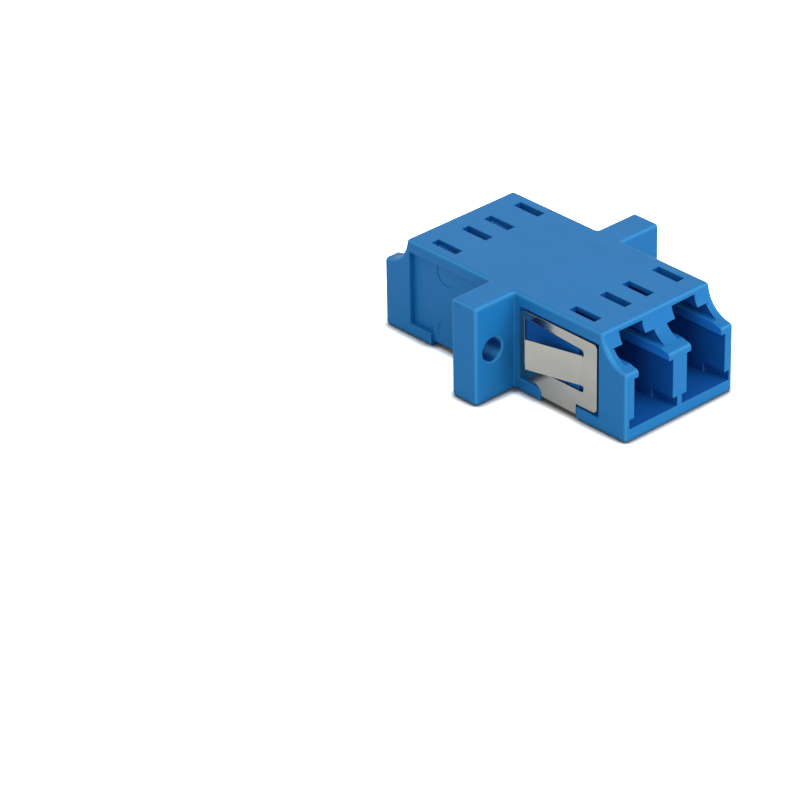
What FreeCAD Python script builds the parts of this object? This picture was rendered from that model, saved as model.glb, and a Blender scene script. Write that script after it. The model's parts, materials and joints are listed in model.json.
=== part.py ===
"""LC duplex fibre adapter in the SC-size flanged body, with a spring-steel panel clip.

Frame, in millimetres: +X runs along the fibres, towards the end whose half carries the clip.
+Y runs across the pair of ports, and +Z is up, towards the latch slots. Left (+Y) and right (-Y)
are those of someone facing along +X. The origin is at the bottom, midway between ends and sides.
"""
import FreeCAD, Part
import math
import os

Vector = FreeCAD.Vector

# Ports: what an LC plug meets. Heights stack up from the underside of the body.
port_pitch = 6.25             # between the two fibre axes
floor_thickness = 1.25        # under the plug
plug_width = 4.6              # between the side guides
plug_height = 4.65            # floor to the underside of the lips
lip_gap = 3.64                # between the lips, where the latch arm passes
lip_height = 0.9
lug_channel_width = 4.74      # the latch lugs run here, above the lips
lug_channel_height = 1.05
latch_slot_width = 2.7        # between the catches
roof_thickness = 0.47         # over the latch slot
catch_length = 2.0            # from the roof's front edge to the catch's locking face
window_length = 3.0           # roof windows, one over each latch lug, beside the latch slot
window_width = 0.9
corner_relief_overhang = 0.55 # the bottom corners widen by this on each side of the plug
corner_relief_height = 0.92
corner_relief_depth = 2.5     # from the end face

# Body
body_length = 29.3
body_width = 12.9
body_height = 9.4
finger_relief_radius = 2.8    # quarter-round hollow that frees the latch at each end
septum_thickness = 1.8        # wall between the two ends
outer_edge_radius = 0.4       # on every outer edge of body and flange

# Flange
flange_thickness = 3.0
flange_width = 22.0
flange_hole_setback = 2.0     # hole centre from the flange's end
flange_hole_diameter = 2.2
flange_hole_height = 4.8
flange_hole_chamfer = 0.15
flange_root_radius = 0.2      # in the corners between flange and body

# Clip pockets: one on each side of each half, joined by a strap channel underneath
pocket_setback = 0.4          # from the flange face
pocket_length = 9.55
pocket_sill_height = 1.25     # underside of the body to the pocket
pocket_head_height = 1.15     # pocket to the top of the body
pocket_depth = 0.3
pocket_strip_extra_depth = 0.2
rear_foot_length = 2.65       # sill between the pocket's flange end and the strap channel
strap_channel_length = 4.3
rear_foot_corner_radius = 0.4 # top corner of that sill, at the channel
strap_channel_depth = 0.35
mark_depth = 0.04             # round ejector marks on the floors of the empty pockets
small_mark_radius = 1.2
small_mark_inset = 0.6        # their centres, from the pocket's sill and head
small_mark_shift = 0.4        # and from its middle, towards the end
large_mark_radius = 1.95

# Clip: one piece of folded spring steel
sheet_thickness = 0.25
clip_clearance = 0.25         # between the clip's edges and the pocket
strap_clearance = 0.1
bend_radius = 0.3             # inside of the two bends under the body
plate_corner_radius = 0.45
neck_radius = 0.8             # hollow corner between plate and strap, flange side
upper_rail_height = 1.05      # plate left above the tongue's upper slot
lower_rail_height = 1.4       # and below its lower one
tongue_lift = 1.45            # free end, out from the plate
tongue_length = 5.35          # root to free end, along the fibre axis
tongue_root_setback = 1.8     # plate's front edge to the tongue's root
tongue_bend_radius = 1.0
tongue_slot_width = 0.6       # above and below the tongue
tongue_slot_overrun = 0.25    # slots run on past the root
window_rise = 0.4             # the window's upper edge slopes up towards the flange
window_stile = 0.5            # strip that closes the clip's window at the flange

# Alignment sleeves and what holds them
sleeve_bore_diameter = 1.25
sleeve_wall = 0.175
sleeve_length = 6.8
sleeve_slit_width = 0.3
sleeve_radial_clearance = 0.03
sleeve_end_clearance = 0.1
holder_diameter = 2.8
holder_end_wall = 0.5
ferrule_clearance = 0.075     # around the ferrule, at the inner end of the holder's mouth
funnel_flare = 0.3            # the mouth widens by this all round, to its outer end
holder_tip_chamfer = 0.15
seat_diameter = 3.8           # the retainer's plug, pressed into the septum
seat_depth = 1.2
seat_clearance = 0.01
seat_lead_in = 0.15

OVERCUT = 1.0                 # how far a cutting solid stands out of what it cuts

half_length = body_length / 2
half_width = body_width / 2
half_flange = flange_thickness / 2
half_septum = septum_thickness / 2
flange_hole_spacing = flange_width - 2 * flange_hole_setback
roof_edge = half_length - finger_relief_radius
lips_bottom = floor_thickness + plug_height
lips_top = lips_bottom + lip_height
catches_bottom = lips_top + lug_channel_height
latch_slot_top = body_height - roof_thickness
fibre_height = floor_thickness + plug_height / 2
port_centres = {"right": -port_pitch / 2, "left": port_pitch / 2}

pocket_start = half_flange + pocket_setback
pocket_end = pocket_start + pocket_length
pocket_top = body_height - pocket_head_height
channel_start = pocket_start + rear_foot_length
channel_end = channel_start + strap_channel_length

plate_rear = pocket_start + clip_clearance
plate_front = pocket_end - clip_clearance
plate_bottom = pocket_sill_height + clip_clearance
plate_top = pocket_top - clip_clearance
window_bottom = plate_bottom + lower_rail_height
window_top = plate_top - upper_rail_height
tongue_root = plate_front - tongue_root_setback
tongue_bottom = window_bottom + tongue_slot_width
tongue_width = window_top - tongue_slot_width - tongue_bottom

sleeve_bore_radius = sleeve_bore_diameter / 2
sleeve_radius = sleeve_bore_radius + sleeve_wall
chamber_radius = sleeve_radius + sleeve_radial_clearance
chamber_half_length = sleeve_length / 2 + sleeve_end_clearance
mouth_radius = sleeve_bore_radius + ferrule_clearance
holder_radius = holder_diameter / 2
holder_tip = chamber_half_length + holder_end_wall
seat_floor = half_septum - seat_depth


def block(x_range, y_range, z_range):
    """Box between two values on each axis, in either order."""
    low = [min(pair) for pair in (x_range, y_range, z_range)]
    size = [abs(pair[1] - pair[0]) for pair in (x_range, y_range, z_range)]
    return Part.makeBox(*size, Vector(*low))


def prism(points, direction):
    """Solid swept from the polygon through points, along direction."""
    return Part.Face(Part.makePolygon(points + points[:1])).extrude(direction)


def edges_where(shape, test):
    """Edges whose middle point passes the test."""
    return [edge for edge in shape.Edges if test(edge.valueAt(edge.FirstParameter
            + (edge.LastParameter - edge.FirstParameter) / 2))]


def other_end(shape):
    """The same shape turned half a turn about the vertical axis, for the other end."""
    turned = shape.copy()
    turned.rotate(Vector(0, 0, 0), Vector(0, 0, 1), 180)
    return turned


def corner_filler(y_range, x, z, radius):
    """What is left of a square bar with its upper corner at x, z once a quarter round is taken out."""
    low, high = min(y_range), max(y_range)
    bar = block((x - radius, x), y_range, (z - radius, z))
    quarter = Part.makeCylinder(radius, high - low, Vector(x - radius, low, z - radius), Vector(0, 1, 0))
    return bar.cut(quarter)


def finger_relief(side):
    """Quarter circle from the end face up to the roof's edge; side is +1 or -1 along X."""
    diagonal = finger_relief_radius * math.sqrt(0.5)
    low = Vector(side * half_length, 0, body_height - finger_relief_radius)
    middle = Vector(side * (half_length - diagonal), 0, body_height - diagonal)
    high = Vector(side * roof_edge, 0, body_height)
    return Part.Arc(low, middle, high).toShape()


def body_blank():
    """Solid body: the side outline with its two finger reliefs, across the width."""
    shelf = body_height - finger_relief_radius
    outline = Part.Wire([
        Part.makeLine(Vector(-half_length, 0, 0), Vector(half_length, 0, 0)),
        Part.makeLine(Vector(half_length, 0, 0), Vector(half_length, 0, shelf)),
        finger_relief(1),
        Part.makeLine(Vector(roof_edge, 0, body_height), Vector(-roof_edge, 0, body_height)),
        finger_relief(-1),
        Part.makeLine(Vector(-half_length, 0, shelf), Vector(-half_length, 0, 0)),
    ])
    face = Part.Face(outline)
    face.translate(Vector(0, -half_width, 0))
    return face.extrude(Vector(0, body_width, 0))


def flange():
    """Both ears as one slab through the body, with a chamfered screw hole in each ear."""
    slab = block((-half_flange, half_flange), (-flange_width / 2, flange_width / 2), (0, body_height))
    holes = [Part.makeCylinder(flange_hole_diameter / 2, flange_thickness + 2 * OVERCUT,
                               Vector(-half_flange - OVERCUT, side * flange_hole_spacing / 2,
                                      flange_hole_height), Vector(1, 0, 0)) for side in (-1, 1)]
    drilled = slab.cut(holes)
    rims = [edge for edge in drilled.Edges if edge.Closed and len(edge.Vertexes) == 1]
    return drilled.makeChamfer(flange_hole_chamfer, rims)


def flanged_body():
    """Body and flange as one: hollow fillets where the ears leave the sides, outer edges round."""
    whole = body_blank().fuse(flange()).removeSplitter()

    def by_root(p):
        return (abs(p.x) < half_flange + 2 * flange_root_radius and 0 < p.z < body_height
                and abs(p.y) < half_width + 2 * flange_root_radius)

    def by_hole(p):
        from_axis = math.hypot(abs(p.y) - flange_hole_spacing / 2, p.z - flange_hole_height)
        return from_axis < flange_hole_diameter / 2 + 2 * flange_hole_chamfer

    whole = whole.makeFillet(flange_root_radius, edges_where(whole, by_root))
    return whole.makeFillet(outer_edge_radius,
                            edges_where(whole, lambda p: not by_root(p) and not by_hole(p)))


def port_cavity(centre):
    """What one core of the mould leaves at the +X end: plug space, lips, lug channel and latch slot."""
    half_plug = plug_width / 2
    half_gap = lip_gap / 2
    half_channel = lug_channel_width / 2
    half_slot = latch_slot_width / 2
    right_side = [
        (half_plug, floor_thickness), (half_plug, lips_bottom),
        (half_gap, lips_bottom), (half_gap, lips_top),
        (half_channel, lips_top), (half_channel, catches_bottom),
        (half_slot, catches_bottom), (half_slot, latch_slot_top),
    ]
    section = right_side + [(-y, z) for y, z in reversed(right_side)]
    points = [Vector(half_septum, centre + y, z) for y, z in section]
    core = prism(points, Vector(half_length + OVERCUT - half_septum, 0, 0))
    half_relief = half_plug + corner_relief_overhang
    corners = block((half_length - corner_relief_depth, half_length + OVERCUT),
                    (centre - half_relief, centre + half_relief),
                    (floor_thickness, floor_thickness + corner_relief_height))
    return core.fuse(corners)


def roof_windows(centre):
    """The pair of windows behind the catches of one port, from the roof down to the lug channel."""
    front = roof_edge - catch_length
    inner = latch_slot_width / 2
    return [block((front - window_length, front),
                  (centre + side * inner, centre + side * (inner + window_width)),
                  (catches_bottom - lug_channel_height / 2, body_height + OVERCUT))
            for side in (-1, 1)]


def clip_pocket(side):
    """Pocket for one plate of the clip on the side wall at side * Y, +X half."""
    outside = side * (half_width + OVERCUT)
    floor = side * (half_width - pocket_depth)
    strip_floor = side * (half_width - pocket_depth - pocket_strip_extra_depth)
    pocket = block((pocket_start, pocket_end), (floor, outside), (pocket_sill_height, pocket_top))
    strip = block((channel_end, pocket_end), (strip_floor, outside), (pocket_sill_height, pocket_top))
    notch = block((channel_start, channel_end), (floor, outside), (-OVERCUT, pocket_top))
    foot_corner = corner_filler((floor, outside), channel_start, pocket_sill_height,
                                rear_foot_corner_radius)
    return [pocket, strip, notch, foot_corner]


def strap_channel():
    """Channel under the body for the strap. The body's edges in it are round, inside the clip's bends."""
    reach = half_width + OVERCUT
    gap = block((channel_start, channel_end), (-reach, reach), (-OVERCUT, strap_channel_depth))
    saddle_half = half_width - pocket_depth
    saddle = block((channel_start - OVERCUT, channel_end + OVERCUT), (-saddle_half, saddle_half),
                   (strap_channel_depth, body_height))
    bottom_edges = edges_where(saddle, lambda p: p.z < strap_channel_depth + 0.01
                               and abs(p.y) > saddle_half - 0.01)
    round_saddle = saddle.makeFillet(bend_radius, bottom_edges)
    corners = saddle.cut(round_saddle).common(
        block((channel_start, channel_end), (-reach, reach), (0, body_height)))
    return [gap, corners]


def ejector_marks():
    """Shallow discs, cut off by the pockets' edges, in the floors that no clip covers on the -X half."""
    middle = -(pocket_start + pocket_end) / 2
    floor = half_width - pocket_depth
    low = pocket_sill_height + small_mark_inset
    high = pocket_top - small_mark_inset
    discs = [(-1, middle - small_mark_shift, z, small_mark_radius) for z in (low, high)]
    discs.append((1, -pocket_start, pocket_sill_height + large_mark_radius, large_mark_radius))
    marks = []
    for side, x, z, radius in discs:
        start = side * (floor - mark_depth)
        disc = Part.makeCylinder(radius, OVERCUT, Vector(x, start, z), Vector(0, side, 0))
        marks.append(disc.common(block((-channel_end, -pocket_start), (start, side * half_width),
                                       (pocket_sill_height, pocket_top))))
    return marks


def sleeve_holder(centre, direction, root):
    """Tube that stands out of the septum around one end of a sleeve, without its bore."""
    start = Vector(direction * root, centre, fibre_height)
    tube = Part.makeCylinder(holder_radius, holder_tip - root, start, Vector(direction, 0, 0))
    tip = edges_where(tube, lambda p: abs(abs(p.x) - holder_tip) < 0.001)
    return tube.makeChamfer(holder_tip_chamfer, tip)


def sleeve_chamber(centre, direction, start):
    """Bore for one end of a sleeve, and the narrower funnel-shaped mouth that leads a ferrule in."""
    along = Vector(direction, 0, 0)

    def point(distance):
        return Vector(direction * distance, centre, fibre_height)

    chamber = Part.makeCylinder(chamber_radius, chamber_half_length - start, point(start), along)
    mouth = Part.makeCone(mouth_radius, mouth_radius + funnel_flare, holder_end_wall,
                          point(chamber_half_length), along)
    return chamber.fuse(mouth)


def housing():
    """One-piece moulding: body, flange, septum, and the sleeve holders of the -X end."""
    cuts = []
    for centre in port_centres.values():
        cuts.append(port_cavity(centre))
        cuts += roof_windows(centre)
    for side in (-1, 1):
        cuts += clip_pocket(side)
    cuts += strap_channel()
    cuts += [other_end(cut) for cut in cuts]
    cuts += ejector_marks()
    moulding = flanged_body().cut(cuts)
    moulding = moulding.fuse([sleeve_holder(centre, -1, half_septum)
                              for centre in port_centres.values()])
    bores = []
    for centre in port_centres.values():
        bores.append(sleeve_chamber(centre, -1, -half_septum))
        bores.append(Part.makeCylinder(seat_diameter / 2, seat_depth + OVERCUT,
                                       Vector(seat_floor, centre, fibre_height), Vector(1, 0, 0)))
    return moulding.cut(bores).removeSplitter()


def sleeve_retainer(centre):
    """Cap pressed into the septum from the +X end, with the holder for that end of the sleeve."""
    plug = Part.makeCylinder(seat_diameter / 2 - seat_clearance, seat_depth,
                             Vector(seat_floor, centre, fibre_height), Vector(1, 0, 0))
    entry = edges_where(plug, lambda p: abs(p.x - seat_floor) < 0.001)
    plug = plug.makeChamfer(seat_lead_in, entry)
    cap = plug.fuse(sleeve_holder(centre, 1, half_septum))
    return cap.cut(sleeve_chamber(centre, 1, seat_floor)).removeSplitter()


def alignment_sleeve(centre):
    """Split sleeve that lines up two ferrules; its slit faces up."""
    start = Vector(-sleeve_length / 2, centre, fibre_height)
    tube = Part.makeCylinder(sleeve_radius, sleeve_length, start, Vector(1, 0, 0))
    bore = Part.makeCylinder(sleeve_bore_radius, sleeve_length, start, Vector(1, 0, 0))
    slit = block((-sleeve_length / 2, sleeve_length / 2),
                 (centre - sleeve_slit_width / 2, centre + sleeve_slit_width / 2),
                 (fibre_height, fibre_height + sleeve_radius + OVERCUT))
    return tube.cut([bore, slit])


def clip_channel_section():
    """The clip's U seen along the fibres: both plates and the strap, with round bends, from -X to +X."""
    inside_half = half_width - pocket_depth
    inside = block((plate_rear, plate_front), (-inside_half, inside_half),
                   (strap_channel_depth, plate_top))
    outside = block((plate_rear, plate_front),
                    (-inside_half - sheet_thickness, inside_half + sheet_thickness),
                    (strap_channel_depth - sheet_thickness, plate_top))

    def round_bottom(solid, radius):
        floor = solid.BoundBox.ZMin
        return solid.makeFillet(radius, edges_where(
            solid, lambda p: abs(p.z - floor) < 0.01 and abs(p.x - (plate_front + plate_rear) / 2) < 0.01))

    return round_bottom(outside, bend_radius + sheet_thickness).cut(round_bottom(inside, bend_radius))


def clip_outline():
    """Side view of the clip as a slab across the whole width: plate, neck and strap."""
    reach = half_width + OVERCUT
    plate = block((plate_rear, plate_front), (-reach, reach), (plate_bottom, plate_top))
    corners = edges_where(plate, lambda p: abs(p.y) < 0.01
                          and not (p.z < plate_bottom + 0.01 and p.x < plate_rear + 0.01))
    plate = plate.makeFillet(plate_corner_radius, corners)
    strap_rear = channel_start + strap_clearance
    strap_front = channel_end - strap_clearance
    strap = block((strap_rear, strap_front), (-reach, reach), (-OVERCUT, plate_bottom + OVERCUT))
    gusset = corner_filler((-reach, reach), strap_rear, plate_bottom, neck_radius)
    return plate.fuse([strap, gusset])


def tongue_window(side):
    """Opening around the tongue in the plate on one side, with round slot ends."""
    rear = plate_rear + window_stile
    front = tongue_root + tongue_slot_overrun
    outside = side * (half_width + OVERCUT)
    inside = side * (half_width - pocket_depth - OVERCUT)
    opening = block((rear, front), (inside, outside), (window_bottom, window_top))
    front_corners = edges_where(opening, lambda p: p.x > front - 0.01
                                and (p.z < window_bottom + 0.01 or p.z > window_top - 0.01)
                                and abs(p.y - (inside + outside) / 2) < 0.01)
    opening = opening.makeFillet(tongue_slot_width / 2, front_corners)
    slope = prism([Vector(rear, inside, window_top),
                   Vector(front - tongue_slot_width / 2, inside, window_top),
                   Vector(rear, inside, window_top + window_rise)], Vector(0, outside - inside, 0))
    bridge = block((tongue_root, front + OVERCUT), (inside, outside),
                   (tongue_bottom, tongue_bottom + tongue_width))
    return opening.fuse(slope).cut(bridge)


def tongue(side):
    """Springy tongue of one plate: a bend at the root, then straight and outwards to its free end."""
    inner_face = half_width - pocket_depth
    angle = math.atan2(tongue_lift, tongue_length)
    bend_centre = inner_face + sheet_thickness + tongue_bend_radius

    def on_bend(radius, turn):
        return Vector(tongue_root - radius * math.sin(turn),
                      bend_centre - radius * math.cos(turn), 0)

    outer = tongue_bend_radius
    inner = tongue_bend_radius + sheet_thickness
    reach = (tongue_length - inner * math.sin(angle)) / math.cos(angle)
    along = Vector(-reach * math.cos(angle), reach * math.sin(angle), 0)
    strip = Part.Face(Part.Wire([
        Part.Arc(on_bend(inner, 0), on_bend(inner, angle / 2), on_bend(inner, angle)).toShape(),
        Part.makeLine(on_bend(inner, angle), on_bend(inner, angle) + along),
        Part.makeLine(on_bend(inner, angle) + along, on_bend(outer, angle) + along),
        Part.makeLine(on_bend(outer, angle) + along, on_bend(outer, angle)),
        Part.Arc(on_bend(outer, angle), on_bend(outer, angle / 2), on_bend(outer, 0)).toShape(),
        Part.makeLine(on_bend(outer, 0), on_bend(inner, 0)),
    ])).extrude(Vector(0, 0, tongue_width))
    strip.translate(Vector(0, 0, tongue_bottom))
    if side > 0:
        return strip
    return strip.mirror(Vector(0, 0, 0), Vector(0, 1, 0))


def retaining_clip():
    """U-shaped clip of the +X half: strap under the body, a plate on each side, a tongue in each plate."""
    clip = clip_channel_section().common(clip_outline())
    clip = clip.cut([tongue_window(side) for side in (-1, 1)])
    return clip.fuse([tongue(side) for side in (-1, 1)]).removeSplitter()


def build():
    """Every piece of the adapter, by name."""
    pieces = {"housing": housing(), "retaining_clip": retaining_clip()}
    for name, centre in port_centres.items():
        pieces[name + "_sleeve_retainer"] = sleeve_retainer(centre)
        pieces[name + "_alignment_sleeve"] = alignment_sleeve(centre)
    return pieces


os.makedirs("parts", exist_ok=True)
for piece_name, piece in build().items():
    solids = piece.Solids
    print(piece_name, "solids", len(solids), "valid", piece.isValid(), "mm3", round(piece.Volume, 2))
    solids[0].exportStep(os.path.join("parts", piece_name + ".step"))
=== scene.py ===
"""LC duplex fibre adapter: fine edges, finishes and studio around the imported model.

Everything is in metres, in the frame of the model: +X along the fibres towards the end with the
clip, +Y across the ports, +Z up. Sizes that are easier to read in millimetres are times MM.
"""
import bmesh
import bpy
import json
import math
from mathutils import Matrix, Vector


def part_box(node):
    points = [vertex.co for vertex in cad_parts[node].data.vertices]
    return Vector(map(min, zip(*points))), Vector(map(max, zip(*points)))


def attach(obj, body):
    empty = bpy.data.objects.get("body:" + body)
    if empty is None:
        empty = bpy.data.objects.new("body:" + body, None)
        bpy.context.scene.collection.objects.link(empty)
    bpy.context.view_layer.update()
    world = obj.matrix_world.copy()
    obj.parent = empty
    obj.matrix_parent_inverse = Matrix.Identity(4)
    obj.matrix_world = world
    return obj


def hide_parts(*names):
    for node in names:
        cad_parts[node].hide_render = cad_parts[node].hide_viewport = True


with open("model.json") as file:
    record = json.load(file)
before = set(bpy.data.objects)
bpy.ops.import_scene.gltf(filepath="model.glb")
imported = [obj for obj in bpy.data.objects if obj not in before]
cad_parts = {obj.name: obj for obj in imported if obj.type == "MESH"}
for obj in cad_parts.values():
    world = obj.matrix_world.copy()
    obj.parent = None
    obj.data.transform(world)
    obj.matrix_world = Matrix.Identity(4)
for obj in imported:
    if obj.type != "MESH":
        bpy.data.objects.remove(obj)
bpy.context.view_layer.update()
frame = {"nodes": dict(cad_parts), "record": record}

MM = 0.001

# Fine edges, on every outward edge that the model leaves sharp
MOULD_EDGE_RADIUS = 0.06 * MM
RETAINER_EDGE_RADIUS = 0.05 * MM
SHEET_EDGE_RADIUS = 0.03 * MM           # of the clip's sheet steel
SLEEVE_EDGE_RADIUS = 0.03 * MM
FINE_EDGE_SEGMENTS = 2
ROUND_PROFILE = 0.5
MERGE_DISTANCE = 0.002 * MM
NO_LENGTH = 0.0001 * MM                 # edges shorter than this are closed up after the rounding
FLAT_ANGLE = math.radians(0.5)          # faces closer than this to one plane become one
SHARP_ANGLE = math.radians(35)          # edges over this get a fine radius
CREASE_ANGLE = math.radians(50)         # and edges still over this are shaded as creases
AREA_WEIGHT = 100                       # large faces lead the shading: 50 is even, and 100 the most
STRIP_WIDTH = 0.2 * MM                  # faces narrower than this belong to a rounded edge

# Where a face's middle lies. Along is its distance from the plane that halves the adapter between
# its two ends, out the one from the plane between its two ports, and off-axis the one across the
# ports from the nearer fibre axis. A pair is the least and the most.
mounts = {mount["name"]: mount for mount in frame["record"]["mounts"]}
screws = mounts["flange_screws"]
END, _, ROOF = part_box("housing")[1]     # how far along the end face lies, and how high the roof
FIBRE_OUT = mounts["left_ferrule_bore"]["pos_m"][1]
SCREW_OUT = screws["dims"]["spacing_x_mm"] / 2 * MM
SCREW_HEIGHT = screws["pos_m"][2]

PORT_ALONG = 14.5 * MM
PORT_OFF_AXIS = 2.6 * MM
PORT_HEIGHT = (0.6 * MM, 9.3 * MM)
PORT_MOUTH_ALONG = (10.2 * MM, 12.2 * MM)   # between these, its painted mouth light fades into painted shade
CORNER_OFF_AXIS = 2.9 * MM              # a port is wider than elsewhere at its bottom corners,
CORNER_TOP = 2.3 * MM                   # which lie below this height
LIP_SIDE_OFF_AXIS = (1.7 * MM, 1.95 * MM)
LIP_SIDE_HEIGHT = (5.8 * MM, 6.9 * MM)
LIP_TOP_HEIGHT = 6.5 * MM               # faces that look up from here on are the lips' tops,
ROOF_UNDERSIDE = 8.4 * MM               # and upright faces above this the windows' sides
SCREW_HOLE_ALONG = 1.4 * MM
SCREW_HOLE_RADIUS = 1.12 * MM
CLIP_POCKET_ALONG = (1.9 * MM, 11.5 * MM)
POCKET_FLOOR_OUT = (5.9 * MM, 6.2 * MM)
EJECTOR_MARK_OUT = (6.10 * MM, 6.16 * MM)       # the shallow rims of the marks
FINGER_RELIEF_RADIUS = (2.70 * MM, 2.85 * MM)   # of the hollow, about the corner of end and roof
ROOT_CORNER_ALONG = (1.48 * MM, 1.72 * MM)      # the small hollow corners between flange and body
ROOT_CORNER_OUT = (6.43 * MM, 6.67 * MM)

# The part of a face's normal along an axis
RUNS_ALONG = 0.05                       # under this, the face runs along the axis, within 3 degrees
LOOKS_ALONG = 0.5                       # over this, it looks along the axis, within 60 degrees
FACES_SQUARELY = 0.9                    # over this, within 26 degrees

# Depth of a face's colour, which is painted shade: more where little light gets in. Those faces are rougher
# too
OUTSIDE_DEPTH = 0
LIGHT_DEPTH = 0.6                       # the windows' long sides, and the lips' tops
FULL_DEPTH = 1                          # the rest of a port, and the pockets' floors behind the clip
WINDOW_END_DEPTH = 1.5
DARKEST_DEPTH = 2                       # the screw holes, and a port's walls beyond its mouth

# Moulded plastic
BLUE = {"light": (0.0115, 0.174, 0.455), "dark": (0.0098, 0.164, 0.436),
        # deep and dim are painted shade for the hollows, and dim is the darker one
        "deep": (0.0035, 0.102, 0.405), "dim": (0.0005, 0.052, 0.26),
        # lip is painted light on the lips' sides near a port's mouth
        # rim is a painted highlight on the rounded edges
        "lip": (0.009, 0.195, 0.70), "rim": (0.034, 0.245, 0.54)}
CLOUD_SIZE = 3.5 * MM
SPECKLE_SIZE = 0.16 * MM
SPECKLE_SHARE = 0.12                    # how much of a speckle's own colour shows,
SPECKLE_GAIN = 1.35                     # which is this many times the light one
GRAIN_DEPTH = 0.006 * MM
FLOW_SIZE = 1.1 * MM
FLOW_FACTORS = (0.45, 1, 1)             # flow marks are about twice as long as wide
FLOW_DEPTH = 0.004 * MM
SATIN_ROUGHNESS = (0.37, 0.43)
FULL_DEPTH_ROUGHNESS = 0.7
DARKEST_ROUGHNESS = 1.0
TURNED_AWAY = (0.78, 0.99)              # the normal's largest part, where the painted rim highlight is full and gone
PLASTIC_GLOSS = 0.13                    # specular level

# Rolled steel. A line runs on along X for fifty times its width.
STEEL_COLOURS = ((0.395, 0.395, 0.360), (0.450, 0.448, 0.410))
STEEL_CLOUD_SIZE = 1.6 * MM
STEEL_CLOUD_FACTORS = (0.35, 1, 1)
ROLLING_LINE_WIDTH = 0.11 * MM
ROLLING_LINE_FACTORS = (0.02, 1, 1)
ROLLING_DEPTH = 0.0012 * MM
STEEL_ROUGHNESS = (0.09, 0.2)

# Ground ceramic. A line runs on across X for fifty times its width.
CERAMIC_COLOURS = ((0.78, 0.77, 0.725), (0.85, 0.84, 0.80))
CERAMIC_CLOUD_SIZE = 1.1 * MM
GRINDING_LINE_WIDTH = 0.14 * MM
GRINDING_LINE_FACTORS = (1, 0.02, 0.02)
GRINDING_DEPTH = 0.0015 * MM
CERAMIC_ROUGHNESS = (0.16, 0.3)
CERAMIC_IOR = 2.1

# Node trees
MIX_COLOUR_INPUTS = (6, 7)              # the Mix node's colour sockets, by number because its sockets
MIX_COLOUR_OUTPUT = 2                   # for plain numbers and vectors have the same names
NOISE_SPAN = (0.3, 0.7)                 # most of a noise's values lie in this span

# Camera: azimuth is from +X towards -Y, and the aim is the point that the middle of the view shows
CAMERA_AZIMUTH = math.radians(42.384)
CAMERA_ELEVATION = math.radians(29.937)
CAMERA_ROLL = math.radians(-1.128)
CAMERA_DISTANCE = 379.006 * MM
CAMERA_AIM = Vector((-7.752, -11.206, -2.946)) * MM
CAMERA_LENS = 198.641                   # millimetres
CAMERA_SENSOR = 36                      # millimetres across
CAMERA_RANGE = (0.01, 10)               # nearest and farthest that it sees

# Studio
WHITE = (1, 1, 1, 1)
WORLD_TO_EYE = 1.0                      # level of the surroundings as they are looked at,
WORLD_TO_GLOSS = 1.0                    # as the object mirrors them,
WORLD_TO_REST = 0.85                    # and as they light it
KEY_POWER = 0.52                        # watts
KEY_SIZE = 200 * MM
KEY_PLACE = Vector((285, 50, 140)) * MM
FLOOR_TO_EYE = 2.4                      # the floor's colour as it is looked at: only the close shadow shows,
FLOOR_TO_GLOSS = 0.9                    # then as the object mirrors it,
FLOOR_TO_REST = 0.8                     # and as it lights the object
FLOOR_GLOW = 0.1                        # light of the floor's own, which helps to hold it white
FLOOR_SIZE = 4.0
CONTACT_REACH = 0.8 * MM                # how far the painted contact shadow along the object's base goes
CONTACT_OPEN = (0.55, 1.0)              # share of the sky above a point of the floor, within that reach,
CONTACT_LEVEL = (0.10, 1.0)             # and how bright the point then looks
CONTACT_SAMPLES = 4


# ---------------------------------------------------------------- node trees

class Nodes:
    """A node tree and short ways to add to it. Most of them return the new node's output socket."""

    def __init__(self, tree):
        self.tree = tree

    def add(self, kind, **values):
        """A new node of that kind, with its inputs set by name."""
        node = self.tree.nodes.new(kind)
        for name, value in values.items():
            node.inputs[name.replace("_", " ")].default_value = value
        return node

    def feed(self, value, socket):
        """Gives a node's input a plain value, or another node's output."""
        if isinstance(value, bpy.types.NodeSocket):
            self.tree.links.new(value, socket)
        else:
            socket.default_value = value

    def arithmetic(self, operation, *values):
        """One step of arithmetic on numbers and sockets."""
        node = self.add("ShaderNodeMath")
        node.operation = operation
        for value, socket in zip(values, node.inputs):
            self.feed(value, socket)
        return node.outputs["Value"]

    def carry(self, source, to, span=NOISE_SPAN):
        """source carried in a straight line from its own span to the span `to`, and held at its ends."""
        node = self.add("ShaderNodeMapRange")
        for name, value in zip(("From Min", "From Max", "To Min", "To Max"), (*span, *to)):
            node.inputs[name].default_value = value
        self.feed(source, node.inputs["Value"])
        return node.outputs["Result"]

    def blend(self, factor, first, second):
        """Number that goes from first to second with the factor."""
        node = self.add("ShaderNodeMix")
        node.data_type = "FLOAT"
        for value, name in ((factor, "Factor"), (first, "A"), (second, "B")):
            self.feed(value, node.inputs[name])
        return node.outputs["Result"]

    def blend_colour(self, factor, first, second):
        """Colour that goes from first to second with the factor. Each is a colour or a socket."""
        node = self.add("ShaderNodeMix")
        node.data_type = "RGBA"
        self.feed(factor, node.inputs["Factor"])
        for colour, place in zip((first, second), MIX_COLOUR_INPUTS):
            opaque = colour if isinstance(colour, bpy.types.NodeSocket) else (*colour, 1)
            self.feed(opaque, node.inputs[place])
        return node.outputs[MIX_COLOUR_OUTPUT]

    def by_ray(self, eye, gloss, rest):
        """Number that is `eye` for camera rays, `gloss` for glossy and clear ones, and `rest` for others."""
        rays = self.add("ShaderNodeLightPath").outputs
        mirrored = self.arithmetic("MAXIMUM", rays["Is Glossy Ray"], rays["Is Transmission Ray"])
        return self.blend(rays["Is Camera Ray"], self.blend(mirrored, rest, gloss), eye)


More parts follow.
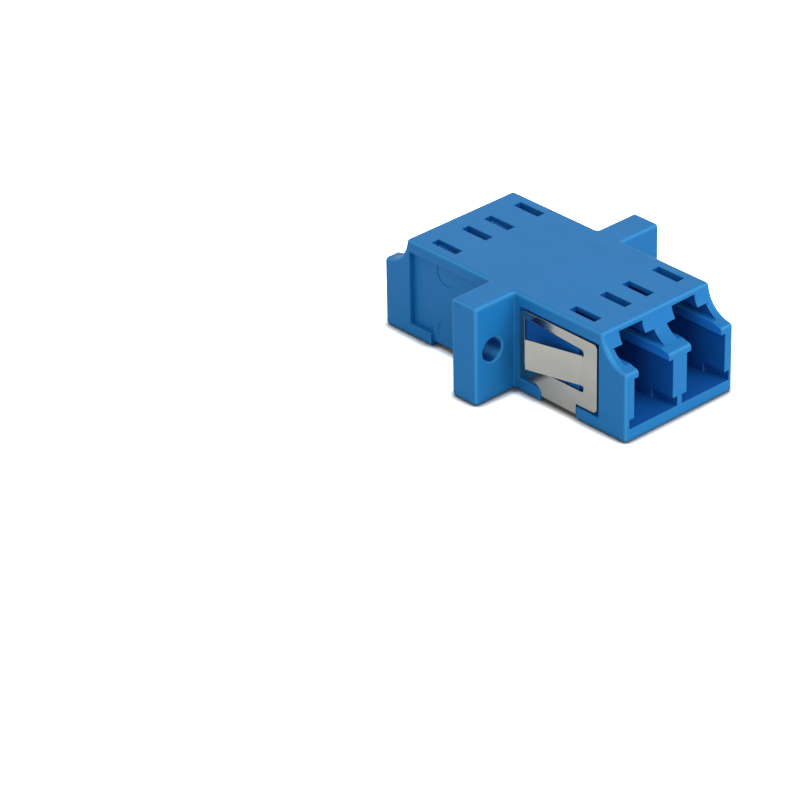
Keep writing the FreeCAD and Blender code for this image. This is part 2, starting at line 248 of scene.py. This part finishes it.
class Finish(Nodes):
    """A material with a Principled shader, and the patterns that feed it."""

    def __init__(self, name):
        self.material = bpy.data.materials.new(name)
        self.material.use_nodes = True
        super().__init__(self.material.node_tree)
        self.tree.nodes.clear()
        self.shader = self.add("ShaderNodeBsdfPrincipled")
        output = self.add("ShaderNodeOutputMaterial")
        self.feed(self.shader.outputs["BSDF"], output.inputs["Surface"])
        self.coordinates = self.add("ShaderNodeTexCoord").outputs

    def noise(self, size, detail=2.0, roughness=0.5, per_axis=(1, 1, 1)):
        """Noise from 0 to 1, read at the Object coordinates times per_axis, over the size.

        Its blobs are about that size, and longer along an axis whose factor is under 1.
        """
        stretched = self.add("ShaderNodeMapping", Scale=per_axis)
        self.feed(self.coordinates["Object"], stretched.inputs["Vector"])
        node = self.add("ShaderNodeTexNoise", Scale=1 / size, Detail=detail, Roughness=roughness)
        self.feed(stretched.outputs["Vector"], node.inputs["Vector"])
        return node.outputs["Fac"]

    def attribute(self, name):
        """The mesh's own value of that name, 0 where it has none."""
        node = self.add("ShaderNodeAttribute")
        node.attribute_name = name
        return node.outputs["Fac"]

    def sizes(self, vector, axes):
        """Parts of a vector along these axes, without their signs."""
        parts = self.add("ShaderNodeSeparateXYZ")
        self.feed(vector, parts.inputs["Vector"])
        return [self.arithmetic("ABSOLUTE", parts.outputs[axis]) for axis in axes]

    def along(self):
        """Distance from the plane that halves the adapter between its two ends."""
        return self.sizes(self.coordinates["Object"], "X")[0]

    def squareness(self):
        """Largest part of the surface normal: 1 on faces square to an axis."""
        x, y, z = self.sizes(self.coordinates["Normal"], "XYZ")
        return self.arithmetic("MAXIMUM", self.arithmetic("MAXIMUM", x, y), z)

    def relief(self, height, depth, below=None):
        """Bump of that depth in metres, on top of another one if below is given."""
        node = self.add("ShaderNodeBump", Strength=1.0, Distance=depth)
        self.feed(height, node.inputs["Height"])
        if below is not None:
            self.feed(below, node.inputs["Normal"])
        return node.outputs["Normal"]

    def paint(self, **sockets):
        """The material, once the shader's own sockets are set or linked by name."""
        for name, value in sockets.items():
            self.feed(value, self.shader.inputs[name.replace("_", " ")])
        return self.material


def moulded_plastic(name, light, dark, deep, dim, lip, rim):
    """Satin engineering plastic: a slight cloudiness, fine spark-eroded grain and soft flow marks.

    The colour goes to `deep`, a painted shade, where the attribute cavity is 1 and to `dim`, a darker
    painted shade, where it is 2, with the attribute inward added to it beyond a port's mouth. In the
    mouth it goes to `lip`, painted light, where the attribute lip is 1, and everywhere to `rim`, a
    painted highlight, where a face with the attribute rounded turns away from all three axes.
    """
    finish = Finish(name)
    cloud = finish.noise(CLOUD_SIZE, detail=3)
    speckle = finish.noise(SPECKLE_SIZE)
    flow = finish.noise(FLOW_SIZE, per_axis=FLOW_FACTORS)
    bright = tuple(SPECKLE_GAIN * part for part in light)
    colour = finish.blend_colour(finish.carry(cloud, (0, 1)), dark, light)
    colour = finish.blend_colour(finish.carry(speckle, (0, SPECKLE_SHARE)), colour, bright)

    # Painted shade: the colour deepens in the hollows, and more in the screw holes and beyond a port's mouth
    beyond_mouth = finish.carry(finish.along(), (1, 0), PORT_MOUTH_ALONG)
    inward_painted_shade = finish.arithmetic("MULTIPLY", beyond_mouth, finish.attribute("inward"))
    cavity = finish.arithmetic("ADD", finish.attribute("cavity"), inward_painted_shade)
    darkest_painted_shade = finish.carry(cavity, (0, 1), (FULL_DEPTH, DARKEST_DEPTH))
    colour = finish.blend_colour(darkest_painted_shade, finish.blend_colour(cavity, colour, deep), dim)

    # Painted light: the lips' sides lighten towards a port's mouth
    mouth = finish.carry(finish.along(), (0, 1), PORT_MOUTH_ALONG)
    colour = finish.blend_colour(finish.arithmetic("MULTIPLY", mouth, finish.attribute("lip")), colour, lip)

    # Painted highlight: rounded edges turned away from the axes are lightened to the rim colour
    turned = finish.carry(finish.squareness(), (1, 0), TURNED_AWAY)
    painted_highlight = finish.arithmetic("MULTIPLY", turned, finish.attribute("rounded"))
    colour = finish.blend_colour(painted_highlight, colour, rim)

    rough = finish.blend(cavity, finish.carry(flow, SATIN_ROUGHNESS), FULL_DEPTH_ROUGHNESS)
    rough = finish.blend(darkest_painted_shade, rough, DARKEST_ROUGHNESS)
    grain = finish.relief(speckle, GRAIN_DEPTH)
    wave = finish.relief(flow, FLOW_DEPTH, grain)
    return finish.paint(Base_Color=colour, Roughness=rough, Normal=wave, Specular_IOR_Level=PLASTIC_GLOSS)


def rolled_steel(name):
    """Bright spring-steel strip: near mirror, with fine rolling lines along X."""
    finish = Finish(name)
    lines = finish.noise(ROLLING_LINE_WIDTH, detail=3, roughness=0.6, per_axis=ROLLING_LINE_FACTORS)
    cloud = finish.noise(STEEL_CLOUD_SIZE, per_axis=STEEL_CLOUD_FACTORS)
    return finish.paint(Base_Color=finish.blend_colour(finish.carry(cloud, (0, 1)), *STEEL_COLOURS),
                        Metallic=1.0, Roughness=finish.carry(lines, STEEL_ROUGHNESS),
                        Normal=finish.relief(lines, ROLLING_DEPTH))


def ground_ceramic(name):
    """White zirconia, ground round the fibre axis."""
    finish = Finish(name)
    rings = finish.noise(GRINDING_LINE_WIDTH, per_axis=GRINDING_LINE_FACTORS)
    cloud = finish.noise(CERAMIC_CLOUD_SIZE)
    return finish.paint(Base_Color=finish.blend_colour(finish.carry(cloud, (0, 1)), *CERAMIC_COLOURS),
                        Roughness=finish.carry(rings, CERAMIC_ROUGHNESS), IOR=CERAMIC_IOR,
                        Normal=finish.relief(rings, GRINDING_DEPTH))


def seen_floor():
    """Pale floor: takes the object's shadow and a painted contact shadow, white where an eye or a gloss sees
    it.
    """
    material = bpy.data.materials.new("studio_floor")
    material.use_nodes = True
    floor = Nodes(material.node_tree)
    floor.tree.nodes.clear()
    # Painted contact shadow: ambient occlusion darkens the floor along the object's base
    nearby = floor.add("ShaderNodeAmbientOcclusion", Distance=CONTACT_REACH)
    nearby.samples = CONTACT_SAMPLES
    painted_contact_shadow = floor.carry(nearby.outputs["AO"], CONTACT_LEVEL, CONTACT_OPEN)
    diffuse = floor.add("ShaderNodeBsdfDiffuse")
    glow = floor.add("ShaderNodeEmission")
    for levels, socket in (((FLOOR_TO_EYE, FLOOR_TO_GLOSS, FLOOR_TO_REST), diffuse.inputs["Color"]),
                           ((FLOOR_GLOW, FLOOR_GLOW, 0.0), glow.inputs["Strength"])):
        floor.feed(floor.arithmetic("MULTIPLY", floor.by_ray(*levels), painted_contact_shadow), socket)
    both = floor.add("ShaderNodeAddShader")
    for shader, socket in zip((diffuse, glow), both.inputs):
        floor.feed(shader.outputs[0], socket)
    output = floor.add("ShaderNodeOutputMaterial")
    floor.feed(both.outputs["Shader"], output.inputs["Surface"])
    return material


# ---------------------------------------------------------------- faces of the housing

def within(value, span):
    """Whether a value is between the two ends of a span."""
    return span[0] < value < span[1]


def place_of(face):
    """How far along, how far out, how far off its fibre axis and how high a face's middle lies."""
    x, y, z = face.calc_center_median()
    return abs(x), abs(y), abs(abs(y) - FIBRE_OUT), z


def in_finger_relief(face):
    """Whether a face is part of the quarter-round hollow at an end.

    Its middle is as far from the corner of end and roof as the hollow's wall, and it runs along Y.
    """
    along, _, _, height = place_of(face)
    return (within(math.hypot(along - END, height - ROOF), FINGER_RELIEF_RADIUS)
            and abs(face.normal.y) < RUNS_ALONG)


def in_port(face):
    """Whether a face belongs to a port or its windows: near a fibre axis, and between floor and roof."""
    along, _, off_axis, height = place_of(face)
    half_width = CORNER_OFF_AXIS if height < CORNER_TOP else PORT_OFF_AXIS
    return along < PORT_ALONG and off_axis < half_width and within(height, PORT_HEIGHT)


def on_lip_side(face):
    """Whether a face is the side of a lip that guides the plug, by its height and place off-axis."""
    _, _, off_axis, height = place_of(face)
    return within(off_axis, LIP_SIDE_OFF_AXIS) and within(height, LIP_SIDE_HEIGHT)


def in_screw_hole(face):
    """Whether a face is part of a screw hole's wall: no farther from the hole's axis than that wall."""
    along, out, _, height = place_of(face)
    return (along < SCREW_HOLE_ALONG
            and math.hypot(out - SCREW_OUT, height - SCREW_HEIGHT) < SCREW_HOLE_RADIUS)


def behind_clip(face):
    """Whether a face is the floor of a pocket that holds a plate of the clip: it lies there, square to Y."""
    x, y, _ = face.calc_center_median()
    return (within(x, CLIP_POCKET_ALONG) and within(abs(y), POCKET_FLOOR_OUT)
            and abs(face.normal.y) > FACES_SQUARELY)


def painted_shade_depth(face):
    """How deep the painted shade in a face's colour goes, by where it lies.

    In a port, upright faces above the roof's underside are the windows' sides, and those of them that
    look along the fibres are their end walls. High faces that look up are the lips' tops.
    """
    height = face.calc_center_median().z
    if in_finger_relief(face):
        return OUTSIDE_DEPTH
    if in_port(face):
        if height > ROOF_UNDERSIDE and abs(face.normal.z) < LOOKS_ALONG:
            return WINDOW_END_DEPTH if abs(face.normal.x) > LOOKS_ALONG else LIGHT_DEPTH
        on_lip_top = height > LIP_TOP_HEIGHT and face.normal.z > LOOKS_ALONG
        return LIGHT_DEPTH if on_lip_top else FULL_DEPTH
    if in_screw_hole(face):
        return DARKEST_DEPTH
    return FULL_DEPTH if behind_clip(face) else OUTSIDE_DEPTH


def painted_shade_deepens_inward(face):
    """Whether a face's painted shade goes deeper still beyond the mouth: a port's walls do, and its lips
    don't.
    """
    return in_port(face) and painted_shade_depth(face) == FULL_DEPTH and not on_lip_side(face)


def on_rounded_strip(face):
    """Whether a face is a strip of one of the model's own outward rounded edges.

    Its area over its longest edge is under STRIP_WIDTH, and it isn't in a hollow corner or the relief.
    """
    along, out, _, _ = place_of(face)
    in_root_corner = within(along, ROOT_CORNER_ALONG) and within(out, ROOT_CORNER_OUT)
    longest = max(edge.calc_length() for edge in face.edges)
    return (face.calc_area() < STRIP_WIDTH * longest and not in_root_corner
            and not in_finger_relief(face))


def mark_faces(shape, eased):
    """Writes the attributes for the plastic's painted shade, light and highlight. eased are the faces of the
    fine edges.
    """
    marks = {"cavity": painted_shade_depth, "inward": painted_shade_deepens_inward, "lip": on_lip_side,
             "rounded": lambda face: face in eased or on_rounded_strip(face)}
    for name, measure in marks.items():
        layer = shape.faces.layers.float.new(name)
        for face in shape.faces:
            face[layer] = float(measure(face))


# ---------------------------------------------------------------- pieces

def placed_in_scene(name, data):
    """A new object of that name, linked to the scene."""
    thing = bpy.data.objects.new(name, data)
    bpy.context.scene.collection.objects.link(thing)
    return thing


def joined_shape(node_name):
    """The node's shape with its loose triangles merged, and those in one plane made one face."""
    shape = bmesh.new()
    shape.from_mesh(frame["nodes"][node_name].data)
    bmesh.ops.remove_doubles(shape, verts=shape.verts, dist=MERGE_DISTANCE)
    bmesh.ops.dissolve_limit(shape, angle_limit=FLAT_ANGLE, use_dissolve_boundaries=False,
                             verts=shape.verts, edges=shape.edges)
    shape.normal_update()
    return shape


def takes_fine_radius(edge):
    """Whether an edge is outward and sharp, and not on the shallow rim of an ejector mark."""
    on_mark = all(within(abs(end.co.y), EJECTOR_MARK_OUT) for end in edge.verts)
    return edge.is_convex and edge.calc_face_angle(0) > SHARP_ANGLE and not on_mark


def eased_copy(node_name, piece_name, radius):
    """A piece with the node's shape, whose outward sharp edges are rounded to that radius.

    Edges without length are closed up, edges still over the crease angle stay creases, and elsewhere
    a corner's shading is the mean over its faces, by their area.
    """
    shape = joined_shape(node_name)
    sharp = [edge for edge in shape.edges if takes_fine_radius(edge)]
    eased = bmesh.ops.bevel(shape, geom=sharp, offset=radius, offset_type="OFFSET",
                            segments=FINE_EDGE_SEGMENTS, profile=ROUND_PROFILE, affect="EDGES",
                            clamp_overlap=False, loop_slide=True, miter_outer="SHARP", miter_inner="SHARP")
    mark_faces(shape, set(eased["faces"]))
    bmesh.ops.dissolve_degenerate(shape, dist=NO_LENGTH, edges=shape.edges)
    mesh = bpy.data.meshes.new(piece_name)
    shape.to_mesh(mesh)
    shape.free()
    mesh.shade_smooth()
    mesh.set_sharp_from_angle(angle=CREASE_ANGLE)
    piece = placed_in_scene(piece_name, mesh)
    even = piece.modifiers.new("flat_faces_stay_flat", "WEIGHTED_NORMAL")
    even.mode = "FACE_AREA"
    even.weight = AREA_WEIGHT
    even.keep_sharp = True
    return piece


def adapter():
    """Every piece of the adapter with its finish."""
    blue = moulded_plastic("moulded_blue_plastic", **BLUE)
    steel = rolled_steel("rolled_spring_steel")
    ceramic = ground_ceramic("ground_zirconia")
    pieces = [("housing", "moulded_housing", MOULD_EDGE_RADIUS, blue, "housing_plastic"),
              ("retaining_clip", "folded_clip", SHEET_EDGE_RADIUS, steel, "spring_steel")]
    for side in ("right", "left"):
        pieces += [(side + "_sleeve_retainer", side + "_moulded_retainer",
                    RETAINER_EDGE_RADIUS, blue, "retainer_plastic"),
                   (side + "_alignment_sleeve", side + "_ground_sleeve",
                    SLEEVE_EDGE_RADIUS, ceramic, "sleeve_ceramic")]
    for node_name, piece_name, radius, material, slot in pieces:
        piece = eased_copy(node_name, piece_name, radius)
        piece.data.materials.append(material)
        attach(piece, "root")
        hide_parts(node_name)


# ---------------------------------------------------------------- studio

def surroundings():
    """Even white world, whose light on the object is a little less than what is seen of it."""
    world = bpy.data.worlds.new("studio_world")
    world.use_nodes = True
    bpy.context.scene.world = world
    nodes = Nodes(world.node_tree)
    background = nodes.tree.nodes["Background"]
    background.inputs["Color"].default_value = WHITE
    level = nodes.by_ray(WORLD_TO_EYE, WORLD_TO_GLOSS, WORLD_TO_REST)
    nodes.feed(level, background.inputs["Strength"])


def key_lamp():
    """One large soft lamp, turned to the middle of the object's underside."""
    lamp = bpy.data.lights.new("key_softbox", "AREA")
    lamp.shape = "SQUARE"
    lamp.size = KEY_SIZE
    lamp.energy = KEY_POWER
    key = placed_in_scene("key_softbox", lamp)
    key.location = KEY_PLACE
    key.rotation_euler = (-KEY_PLACE).to_track_quat("-Z", "Y").to_euler()


def floor_sheet():
    """One large square under the object."""
    half = FLOOR_SIZE / 2
    corners = [(-half, -half, 0), (half, -half, 0), (half, half, 0), (-half, half, 0)]
    sheet = bpy.data.meshes.new("floor")
    sheet.from_pydata(corners, [], [(0, 1, 2, 3)])
    sheet.materials.append(seen_floor())
    floor = placed_in_scene("floor", sheet)


def main_camera():
    """Camera at its distance from its aim, level and then rolled about its line of sight.

    The way back from the aim is cos azimuth cos elevation, -sin azimuth cos elevation, sin elevation.
    """
    lens = bpy.data.cameras.new("camera")
    lens.sensor_width = CAMERA_SENSOR
    lens.lens = CAMERA_LENS
    lens.clip_start, lens.clip_end = CAMERA_RANGE
    camera = placed_in_scene("camera", lens)
    back = Vector((math.cos(CAMERA_AZIMUTH) * math.cos(CAMERA_ELEVATION),
                   -math.sin(CAMERA_AZIMUTH) * math.cos(CAMERA_ELEVATION),
                   math.sin(CAMERA_ELEVATION)))
    level = Vector((0, 0, 1)).cross(back).normalized()
    turned = Matrix((level, back.cross(level), back)).transposed() @ Matrix.Rotation(CAMERA_ROLL, 3, "Z")
    camera.matrix_world = Matrix.Translation(CAMERA_AIM + back * CAMERA_DISTANCE) @ turned.to_4x4()
    bpy.context.scene.camera = camera


bpy.context.scene.view_settings.view_transform = "Standard"
surroundings()
key_lamp()
floor_sheet()
main_camera()
adapter()
